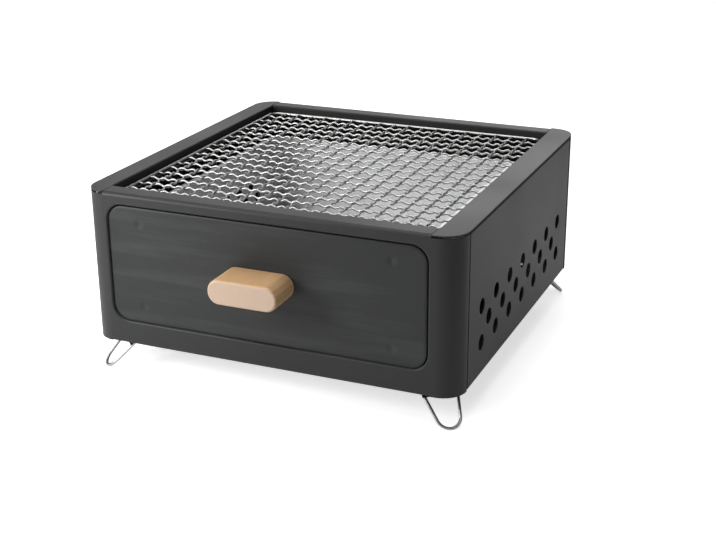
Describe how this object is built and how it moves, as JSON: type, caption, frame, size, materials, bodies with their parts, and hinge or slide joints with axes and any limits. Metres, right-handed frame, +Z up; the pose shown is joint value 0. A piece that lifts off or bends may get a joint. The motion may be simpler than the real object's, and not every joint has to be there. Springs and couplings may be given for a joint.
{
  "type": "portable charcoal grill",
  "caption": "Square sheet steel grill with a wire net on top, a charcoal drawer with a wooden knob in front, vent holes in the sides and folding wire legs.",
  "frame": {"origin": "on the ground, under the middle of the whole grill with its knob", "axes": "+Z up, -Y towards the drawer's knob, +X to the right when the drawer is seen from the front"},
  "size_m": [0.3, 0.3274, 0.1465],
  "materials": {
    "black_coat": "matte powder coat",
    "galvanised_steel": "satin, lightly mottled",
    "bare_steel": "satin",
    "zinc_plate": "bright plated",
    "leg_wire": "satin",
    "light_wood": "sanded, unvarnished"
  },
  "bodies": {
    "housing": {"front_panel": "black_coat", "back_panel": "black_coat", "left_side_panel": "black_coat", "right_side_panel": "black_coat", "left_rim_rail": "black_coat", "right_rim_rail": "black_coat", "bottom_plate": "black_coat", "left_drawer_runner": "bare_steel", "right_drawer_runner": "bare_steel", "bracket_rivets": "bare_steel", "leg_bracket_front_left": "black_coat", "leg_bracket_front_right": "black_coat", "leg_bracket_back_left": "black_coat", "leg_bracket_back_right": "black_coat"},
    "drawer": {"drawer_front": "black_coat", "drawer_body": "galvanised_steel", "drawer_knob": "light_wood", "knob_screws": "zinc_plate"},
    "charcoal_grate": {"charcoal_grate": "bare_steel"},
    "net": {"net_border": "zinc_plate", "net_long_wires": "zinc_plate", "net_cross_wires": "zinc_plate"},
    "leg_front_left": {"leg_front_left": "leg_wire"},
    "leg_front_right": {"leg_front_right": "leg_wire"},
    "leg_back_left": {"leg_back_left": "leg_wire"},
    "leg_back_right": {"leg_back_right": "leg_wire"}
  },
  "joints": [
    {"name": "drawer_slide", "type": "slide", "parent": "housing", "child": "drawer", "axis": [0, -1, 0], "range_m": [0, 0.2]},
    {"name": "charcoal_grate_lift", "type": "slide", "parent": "drawer", "child": "charcoal_grate", "axis": [0, 0, 1], "range_m": [0, 0.06]},
    {"name": "net_lift", "type": "slide", "parent": "housing", "child": "net", "axis": [0, 0, 1], "range_m": [0, 0.15]},
    {"name": "leg_front_left_fold", "type": "hinge", "parent": "housing", "child": "leg_front_left", "pos_m": [-0.12855, -0.1149, 0.0226], "axis": [0.7071, -0.7071, 0], "range_deg": [0, 132]},
    {"name": "leg_front_right_fold", "type": "hinge", "parent": "housing", "child": "leg_front_right", "pos_m": [0.12855, -0.1149, 0.0226], "axis": [0.7071, 0.7071, 0], "range_deg": [0, 132]},
    {"name": "leg_back_left_fold", "type": "hinge", "parent": "housing", "child": "leg_back_left", "pos_m": [-0.12855, 0.1422, 0.0226], "axis": [-0.7071, -0.7071, 0], "range_deg": [0, 132]},
    {"name": "leg_back_right_fold", "type": "hinge", "parent": "housing", "child": "leg_back_right", "pos_m": [0.12855, 0.1422, 0.0226], "axis": [-0.7071, 0.7071, 0], "range_deg": [0, 132]}
  ]
}
